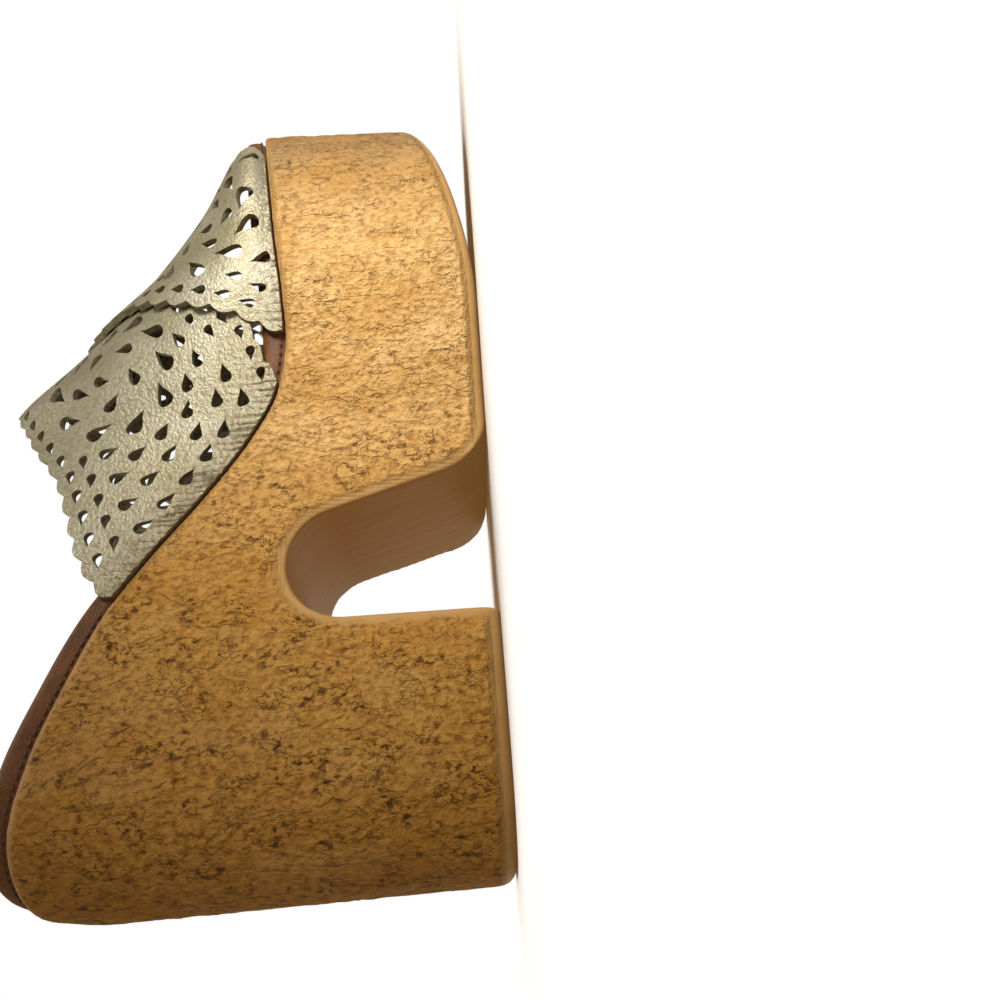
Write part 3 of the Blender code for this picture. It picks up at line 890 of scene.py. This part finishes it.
def make_strap(strap):
    sheet, triangles = strap_sheet(strap)
    lower, upper, foot = [], [], []
    for point in sheet:
        over, x = point.x / SHEET_WAY, point.y
        turn = min(max(strap_turn(strap, over), 0.0), 1.0)
        lift = over_lift(over) if strap is UPPER_STRAP else 0.0
        wave = ripple(x, over)
        lower.append(arch_point(x, turn, lift + 1e-7))
        upper.append(arch_point(x, turn, lift + STRAP_WALL + wave))
        foot.append(math.exp(-min(over, 1 - over) * SHEET_WAY / FOOT_RUB))
    shift = len(lower)
    faces = [tuple(triangle) for triangle in triangles]
    kinds = [LINING] * len(triangles)
    sides = set()
    for a, b, c in triangles:
        sides.update(((a, b), (b, c), (c, a)))
    rim = sorted((a, b) for a, b in sides if (b, a) not in sides)
    faces += [tuple(i + shift for i in reversed(triangle)) for triangle in triangles]
    kinds += [METAL] * len(triangles)
    faces += [(b, a, a + shift, b + shift) for a, b in rim]
    ends = [all(not 1e-6 < sheet[i].x / SHEET_WAY < 1 - 1e-6 for i in pair) for pair in rim]
    kinds += [METAL if at_foot else CUT_EDGE for at_foot in ends]
    return lower + upper, faces, kinds, foot + foot


def make_crossed_straps():
    points, faces, kinds, foot = [], [], [], []
    for strap in (UPPER_STRAP, LOWER_STRAP):
        more_points, more_faces, more_kinds, more_foot = make_strap(strap)
        faces += [tuple(i + len(points) for i in face) for face in more_faces]
        points += more_points
        kinds += more_kinds
        foot += more_foot
    straps = new_mesh("perforated_straps", points, faces)
    straps.data.polygons.foreach_set("material_index", kinds)
    gathered = straps.data.attributes.new("gathered", "FLOAT", "POINT")
    gathered.data.foreach_set("value", foot)
    straps.data.shade_smooth()
    straps.data.set_sharp_from_angle(angle=math.radians(48))
    place_on_model(straps)
    return straps


# Materials


class Nodes:
    """A short way to place and join nodes in one tree."""

    def __init__(self, tree):
        self.tree = tree

    def add(self, kind, values=None, **settings):
        node = self.tree.nodes.new(kind)
        for name, value in settings.items():
            setattr(node, name, value)
        return self.give(node, values or {})

    def give(self, node, values):
        """Joins each value to the input it is for, or sets it there if it is a plain one."""
        for name, value in values.items():
            if isinstance(value, bpy.types.NodeSocket):
                self.tree.links.new(value, node.inputs[name])
            else:
                node.inputs[name].default_value = value
        return node

    def math(self, operation, *values, clamp=False):
        pairs = dict(enumerate(values))
        return self.add("ShaderNodeMath", pairs, operation=operation, use_clamp=clamp).outputs[0]

    def mix(self, factor, first, second, blend="MIX"):
        node = self.add("ShaderNodeMix", data_type="RGBA", blend_type=blend)
        return self.give(node, {0: factor, 6: first, 7: second}).outputs[2]

    def ramp(self, value, low, high, smooth_steps=False):
        kind = "SMOOTHSTEP" if smooth_steps else "LINEAR"
        values = {0: value, 1: low, 2: high}
        return self.add("ShaderNodeMapRange", values, interpolation_type=kind).outputs[0]

    def times(self, first, second):
        return self.math("MULTIPLY", first, second)

    def plus(self, first, second):
        return self.math("ADD", first, second)

    def vector(self, operation, first, second):
        """The second value is a vector, or for SCALE a plain factor."""
        values = {0: first, 3 if operation == "SCALE" else 1: second}
        return self.add("ShaderNodeVectorMath", values, operation=operation).outputs[0]

    def place(self):
        return self.add("ShaderNodeTexCoord").outputs["Object"]

    def mask(self, name):
        return self.add("ShaderNodeAttribute", attribute_name=name).outputs["Fac"]

    def noise(self, vector, scale, detail, rough, distortion=0.0):
        values = {"Vector": vector, "Scale": scale, "Detail": detail, "Roughness": rough}
        values["Distortion"] = distortion
        return self.add("ShaderNodeTexNoise", values).outputs[0]

    def warped(self, scale, amount):
        """Object coordinates pushed about by a slow noise, so that cells lose their straight sides."""
        place = self.place()
        values = {"Vector": place, "Scale": scale, "Detail": 2.0}
        warp = self.add("ShaderNodeTexNoise", values).outputs["Color"]
        return self.vector("ADD", place, self.vector("SCALE", warp, amount))

    def group(self, tree, values):
        return self.give(self.add("ShaderNodeGroup", node_tree=tree), values).outputs


def grain_group():
    """Fine uneven grain on Object coordinates: a height, and a slow light and dark tone."""
    tree = bpy.data.node_groups.new("surface_grain", "ShaderNodeTree")
    stretch = tree.interface.new_socket("Stretch", in_out="INPUT", socket_type="NodeSocketVector")
    stretch.default_value = (1, 1, 1)
    for label, value in (("Grain Scale", 900.0), ("Tone Scale", 40.0), ("Crumple", 0.3)):
        number = tree.interface.new_socket(label, in_out="INPUT", socket_type="NodeSocketFloat")
        number.default_value = value
    for label in ("Height", "Tone"):
        tree.interface.new_socket(label, in_out="OUTPUT", socket_type="NodeSocketFloat")
    nodes = Nodes(tree)
    given = nodes.add("NodeGroupInput").outputs
    drawn = nodes.vector("MULTIPLY", nodes.place(), given["Stretch"])
    height = nodes.noise(drawn, given["Grain Scale"], 4.0, 0.55, given["Crumple"])
    tone = nodes.noise(drawn, given["Tone Scale"], 3.0, 0.5)
    nodes.add("NodeGroupOutput", {"Height": height, "Tone": tone})
    return tree


GRAIN = grain_group()


def new_material(name, colour, roughness, metallic=0.0):
    made = bpy.data.materials.new(name)
    made.use_nodes = True
    made.diffuse_color = (*colour, 1)
    shader = made.node_tree.nodes["Principled BSDF"]
    shader.inputs["Base Color"].default_value = (*colour, 1)
    shader.inputs["Roughness"].default_value = roughness
    shader.inputs["Metallic"].default_value = metallic
    return made, Nodes(made.node_tree), shader


def connect(nodes, shader, **sockets):
    for name, value in sockets.items():
        nodes.tree.links.new(value, shader.inputs[name.replace("_", " ")])


def bump(nodes, height, strength, distance):
    values = {"Height": height, "Strength": strength, "Distance": distance}
    return nodes.add("ShaderNodeBump", values).outputs[0]


# CORK_DEEP: dark of the splits and flake edges, and of the pits, where it is partly painted shade in the
# hollows
CORK_DEEP = (0.085, 0.030, 0.006, 1)
CORK_BROWN = (0.40, 0.185, 0.024, 1)
CORK_MID = (0.43, 0.235, 0.075, 1)
# CORK_LIGHT also goes on the raised wrinkles, partly as a painted highlight
CORK_LIGHT = (0.66, 0.42, 0.17, 1)
CORK_SANDED = (0.50, 0.29, 0.105, 1)
# painted shade, multiplied into the cork towards the heel
HEEL_PAINTED_SHADE = (0.74, 0.57, 0.20, 1)
# painted shade, multiplied into the cork at the toe's end
TOE_PAINTED_SHADE = (0.58, 0.56, 0.58, 1)
NOTCH_WOOD = (0.56, 0.325, 0.110, 1)
NOTCH_DARK = (0.48, 0.268, 0.086, 1)
CORK_RELIEF = 0.0017

LEATHER_DARK = (0.085, 0.028, 0.006, 1)
LEATHER_LIGHT = (0.170, 0.064, 0.016, 1)
LEATHER_WORN = (0.27, 0.115, 0.036, 1)

METAL_DARK = (0.275, 0.245, 0.145, 1)
METAL_LIGHT = (0.365, 0.345, 0.255, 1)
# painted shade for the valleys between the pebbles
METAL_VALLEY_SHADE = (0.24, 0.19, 0.11, 1)
METAL_RUBBED = (0.17, 0.105, 0.055, 1)
METAL_SHARE = 0.72
PEBBLE_SCALE = 1000.0
LEATHER_RELIEF = 0.0005


def flakes(nodes):
    """Oblong flakes of bark: a tone for each flake, and 1 along the lines between them."""
    values = {"Vector": nodes.vector("MULTIPLY", nodes.warped(260.0, 0.0022), (1, 1, 0.55)), "Scale": 115.0}
    near = nodes.add("ShaderNodeTexVoronoi", values, distance="CHEBYCHEV", feature="F1").outputs
    far = nodes.add("ShaderNodeTexVoronoi", values, distance="CHEBYCHEV", feature="F2").outputs
    tone = nodes.add("ShaderNodeSeparateColor", {"Color": near["Color"]}).outputs["Red"]
    return tone, nodes.ramp(nodes.math("SUBTRACT", far["Distance"], near["Distance"]), 0.045, 0.0)


def cork_marks(nodes, fine, broad, heel, flake_line):
    """Where the cork is pitted, and where it has dark splits and flake edges. The pits darken the hollows:
    partly the cork's dark pores, partly painted shade, with more of them towards the heel as part of the
    painted shade there.
    """
    rough_place = nodes.ramp(fine["Tone"], 0.44, 0.60, True)
    pits = nodes.times(nodes.ramp(fine["Height"], 0.45, 0.33), nodes.ramp(broad["Height"], 0.40, 0.56))
    pits = nodes.times(pits, nodes.plus(nodes.times(rough_place, 0.6), 0.3))
    # more pits towards the heel: part of the painted shade there
    pits = nodes.times(pits, nodes.plus(nodes.times(heel, 0.80), 0.35))
    split = nodes.ramp(nodes.math("ABSOLUTE", nodes.math("SUBTRACT", broad["Height"], 0.5)), 0.012, 0.0)
    edge = nodes.times(flake_line, nodes.ramp(broad["Height"], 0.46, 0.60))
    dark = nodes.math("MAXIMUM", nodes.times(nodes.times(split, rough_place), 0.55), nodes.times(edge, 0.40))
    return pits, dark


def cork_material():
    made, nodes, shader = new_material("natural_cork", CORK_MID[:3], 0.78)
    shader.inputs["Specular IOR Level"].default_value = 0.20
    cover, wall = nodes.mask("cover"), nodes.mask("notch_wall")
    grain = {"Stretch": (1, 1, 0.74), "Grain Scale": 700.0, "Tone Scale": 150.0, "Crumple": 0.35}
    fine = nodes.group(GRAIN, grain)
    grain = {"Stretch": (1, 1, 0.55), "Grain Scale": 330.0, "Tone Scale": 38.0, "Crumple": 0.4}
    broad = nodes.group(GRAIN, grain)
    lines = nodes.group(GRAIN, {"Stretch": (0.02, 1, 0.02), "Grain Scale": 1300.0})["Height"]
    flake_tone, flake_line = flakes(nodes)

    # painted shade: the cork is multiplied darker and browner towards the heel, and darker towards the toe's
    # end, where the light falls off
    along = nodes.add("ShaderNodeSeparateXYZ", {0: nodes.place()}).outputs[0]
    heel = nodes.ramp(nodes.plus(along, nodes.times(broad["Tone"], 0.05)), 0.050, -0.025, True)
    toe = nodes.ramp(nodes.plus(along, nodes.times(broad["Tone"], 0.02)), 0.056, 0.106, True)
    # raised wrinkles lighter, low ones darker: partly the cork's own tone, partly a painted highlight on the
    # relief
    tan = nodes.mix(nodes.ramp(fine["Height"], 0.36, 0.64), CORK_MID, CORK_LIGHT)
    # painted shade towards the heel
    tan = nodes.mix(nodes.times(heel, 0.84), tan, HEEL_PAINTED_SHADE, "MULTIPLY")
    # painted shade at the toe's end
    tan = nodes.mix(toe, tan, TOE_PAINTED_SHADE, "MULTIPLY")

    patch = nodes.ramp(broad["Tone"], 0.44, 0.66, True)
    tan = nodes.mix(nodes.times(patch, 0.50), tan, CORK_BROWN)
    tan = nodes.mix(nodes.times(nodes.ramp(flake_tone, 0.62, 1.0), 0.16), tan, CORK_LIGHT)
    pits, dark = cork_marks(nodes, fine, broad, heel, flake_line)
    # splits and flake edges dark, and pits dark: partly dark pores, partly painted shade in the hollows
    tan = nodes.mix(dark, nodes.mix(pits, tan, CORK_DEEP), CORK_DEEP)
    sanded = nodes.mix(nodes.ramp(fine["Tone"], 0.3, 0.75), CORK_SANDED, CORK_MID)
    wood = nodes.mix(nodes.ramp(lines, 0.35, 0.65), NOTCH_WOOD, NOTCH_DARK)
    colour = nodes.mix(wall, nodes.mix(nodes.ramp(cover, 0.1, 0.9), sanded, tan), wood)

    sunk = nodes.plus(nodes.times(dark, 0.7), nodes.times(pits, 0.35))
    raised = nodes.plus(fine["Height"], nodes.times(broad["Height"], 0.9))
    depth = nodes.times(nodes.math("SUBTRACT", raised, sunk), cover)
    height = nodes.plus(depth, nodes.times(lines, 0.03))
    rough = nodes.plus(nodes.times(cover, 0.16), 0.54)
    normal = bump(nodes, height, 0.85, CORK_RELIEF)
    connect(nodes, shader, Base_Color=colour, Roughness=rough, Normal=normal)
    return made


def brown_leather_material():
    made, nodes, shader = new_material("chestnut_leather", (0.15, 0.055, 0.020), 0.42)
    shader.inputs["Specular IOR Level"].default_value = 0.28
    grain = nodes.group(GRAIN, {"Grain Scale": 1500.0, "Tone Scale": 90.0})
    colour = nodes.mix(nodes.ramp(grain["Tone"], 0.3, 0.7), LEATHER_DARK, LEATHER_LIGHT)
    worn = nodes.times(nodes.ramp(grain["Height"], 0.52, 0.66), 0.35)
    colour = nodes.mix(worn, colour, LEATHER_WORN)
    rough = nodes.plus(nodes.times(grain["Tone"], 0.2), 0.46)
    normal = bump(nodes, grain["Height"], 0.35, LEATHER_RELIEF)
    connect(nodes, shader, Base_Color=colour, Roughness=rough, Normal=normal)
    return made


def pebbles(nodes):
    """Soft rounded leather pebbles of uneven size."""
    place = nodes.warped(PEBBLE_SCALE * 0.5, 0.0014)
    values = {"Vector": place, "Scale": PEBBLE_SCALE, "Smoothness": 0.55}
    cells = nodes.add("ShaderNodeTexVoronoi", values, feature="SMOOTH_F1").outputs["Distance"]
    return nodes.math("SUBTRACT", 1.0, cells)


def metallic_leather_material():
    made, nodes, shader = new_material("metallic_leather", (0.46, 0.40, 0.26), 0.50, METAL_SHARE)
    gathered = nodes.mask("gathered")
    grain = nodes.group(GRAIN, {"Grain Scale": 1700.0, "Tone Scale": 55.0})
    creases = nodes.group(GRAIN, {"Stretch": (0.5, 1, 1), "Grain Scale": 420.0, "Tone Scale": 900.0})
    coarse = pebbles(nodes)
    colour = nodes.mix(nodes.ramp(grain["Tone"], 0.30, 0.70), METAL_DARK, METAL_LIGHT)
    # painted shade in the valleys between the pebbles
    colour = nodes.mix(nodes.times(nodes.ramp(coarse, 0.55, 0.30), 0.55), colour, METAL_VALLEY_SHADE)
    rub = nodes.times(gathered, nodes.ramp(creases["Tone"], 0.5, 0.62))
    colour = nodes.mix(nodes.times(rub, 0.70), colour, METAL_RUBBED)
    rough = nodes.plus(nodes.times(grain["Height"], 0.22), 0.44)
    rough = nodes.math("SUBTRACT", rough, nodes.times(gathered, 0.12))
    fine = nodes.times(grain["Height"], nodes.plus(nodes.times(gathered, 3.0), 0.50))
    height = nodes.plus(nodes.plus(coarse, nodes.times(creases["Height"], 0.35)), fine)
    normal = bump(nodes, height, 0.38, LEATHER_RELIEF)
    connect(nodes, shader, Base_Color=colour, Roughness=rough, Normal=normal)
    return made


def plain_material(name, middle, roughness, dark, light, grain, contrast, relief):
    """One colour with a fine dark and light grain in a shallow relief."""
    made, nodes, shader = new_material(name, middle, roughness)
    height = nodes.group(GRAIN, grain)["Height"]
    colour = nodes.mix(nodes.ramp(height, 0.5 - contrast, 0.5 + contrast), (*dark, 1), (*light, 1))
    connect(nodes, shader, Base_Color=colour, Normal=bump(nodes, height, 0.4, relief))
    return made


def lining_material():
    dark, light = (0.016, 0.013, 0.012), (0.042, 0.037, 0.033)
    grain = {"Grain Scale": 1400.0}
    return plain_material("grey_lining", (0.045, 0.040, 0.036), 0.85, dark, light, grain, 0.20, 0.0003)


def cut_edge_material():
    dark, light = (0.020, 0.012, 0.007), (0.070, 0.042, 0.022)
    grain = {"Grain Scale": 1700.0}
    return plain_material("cut_edge", (0.040, 0.024, 0.013), 0.7, dark, light, grain, 0.20, 0.0003)


def thread_material():
    dark, light = (0.030, 0.012, 0.005), (0.10, 0.045, 0.018)
    grain = {"Stretch": (1, 1, 3), "Grain Scale": 2600.0}
    return plain_material("dark_thread", (0.045, 0.020, 0.008), 0.6, dark, light, grain, 0.15, 0.0002)


def floor_material():
    made, _, shader = new_material("pale_floor", (0.90, 0.90, 0.90), 0.9)
    shader.inputs["Specular IOR Level"].default_value = 0.0
    return made


# Stage

AROUND_COLOUR = (1.0, 0.80, 0.54, 1)
AROUND_STRENGTH = 0.29
KEY_PLACE = (0.16, -0.39, 0.10)
KEY_TARGET = (0.040, -0.04, 0.030)
KEY_POWER = 13.5
KEY_SPREAD = 37

VIEW_FROM = Vector((-0.10612, -0.21283, 0.0062))
VIEW_ALONG = Vector((0.3972, 0.9168, -0.0418))
VIEW_UP = Vector((0.9147, -0.3992, -0.0636))
VIEW_LENS = 27.4


def make_camera():
    data = bpy.data.cameras.new("camera")
    data.lens = VIEW_LENS
    data.sensor_width = 36.0
    data.clip_start = 0.001
    camera = bpy.data.objects.new("camera", data)
    back = -VIEW_ALONG.normalized()
    right = VIEW_UP.cross(back).normalized()
    up = back.cross(right)
    turned = Matrix((right, up, back)).transposed().to_4x4()
    camera.matrix_world = Matrix.Translation(VIEW_FROM) @ turned
    bpy.context.scene.collection.objects.link(camera)
    bpy.context.scene.camera = camera


def add_light(name, kind, place, target, power, **settings):
    data = bpy.data.lights.new(name, kind)
    data.energy = power
    for setting, value in settings.items():
        setattr(data, setting, value)
    light = bpy.data.objects.new(name, data)
    light.location = place
    light.rotation_euler = (Vector(target) - Vector(place)).to_track_quat("-Z", "Y").to_euler()
    bpy.context.scene.collection.objects.link(light)
    return light


def light_receivers(name, floor, only_floor):
    """The floor alone, or everything but the floor, as what a light falls on."""
    receivers = bpy.data.collections.new(name)
    receivers.objects.link(floor)
    receivers.collection_objects[0].light_linking.link_state = "INCLUDE" if only_floor else "EXCLUDE"
    return receivers


def make_world():
    """White behind the shoe, and a softer light from all round on it."""
    world = bpy.data.worlds.new("world")
    bpy.context.scene.world = world
    world.use_nodes = True
    nodes = Nodes(world.node_tree)
    nodes.tree.nodes.clear()
    seen = nodes.add("ShaderNodeLightPath").outputs["Is Camera Ray"]
    around = nodes.add("ShaderNodeBackground", {"Color": AROUND_COLOUR, "Strength": AROUND_STRENGTH})
    behind = nodes.add("ShaderNodeBackground", {"Color": (1, 1, 1, 1), "Strength": 1.0})
    mixed = nodes.add("ShaderNodeMixShader", {0: seen, 1: around.outputs[0], 2: behind.outputs[0]})
    nodes.add("ShaderNodeOutputWorld", {"Surface": mixed.outputs[0]})


def make_stage():
    floor = new_mesh("floor", [(-9, -9, 0), (9, -9, 0), (9, 9, 0), (-9, 9, 0)], [(0, 1, 2, 3)])
    floor.data.materials.append(floor_material())
    floor.visible_diffuse = False
    make_world()
    ceiling = add_light("ceiling", "SUN", (-0.2, 0.1, 1.0), (0, 0, 0), 3.1, angle=math.radians(50))
    ceiling.light_linking.receiver_collection = light_receivers("floor_only", floor, True)
    key = add_light("key", "SPOT", KEY_PLACE, KEY_TARGET, KEY_POWER, shadow_soft_size=0.08, spot_blend=1.0)
    key.data.spot_size = math.radians(KEY_SPREAD)
    top = add_light("top", "AREA", (0.10, -0.10, 0.70), (0.02, 0, 0.08), 1.1, size=0.35)
    rim = add_light("rim", "AREA", (0.1, 0.8, 0.6), (0, 0, 0.08), 2.5, size=0.5)
    shoe = light_receivers("all_but_floor", floor, False)
    for light in (key, top, rim):
        light.light_linking.receiver_collection = shoe
    view = bpy.context.scene.view_settings
    view.view_transform = "Standard"
    view.look = "None"


def dress(piece, materials, node):
    piece.data.materials.clear()
    for material in materials:
        piece.data.materials.append(material)
    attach(piece, "root")
    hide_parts(node)


make_camera()
make_stage()
dress(make_cork_block(), [cork_material()], "cork_sole")
dress(make_footbed_cover(), [brown_leather_material()], "footbed")
stitches = make_footbed_stitches(thread_material())
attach(stitches, "root")
strap_materials = [metallic_leather_material(), lining_material(), cut_edge_material()]
dress(make_crossed_straps(), strap_materials, "crossed_straps")
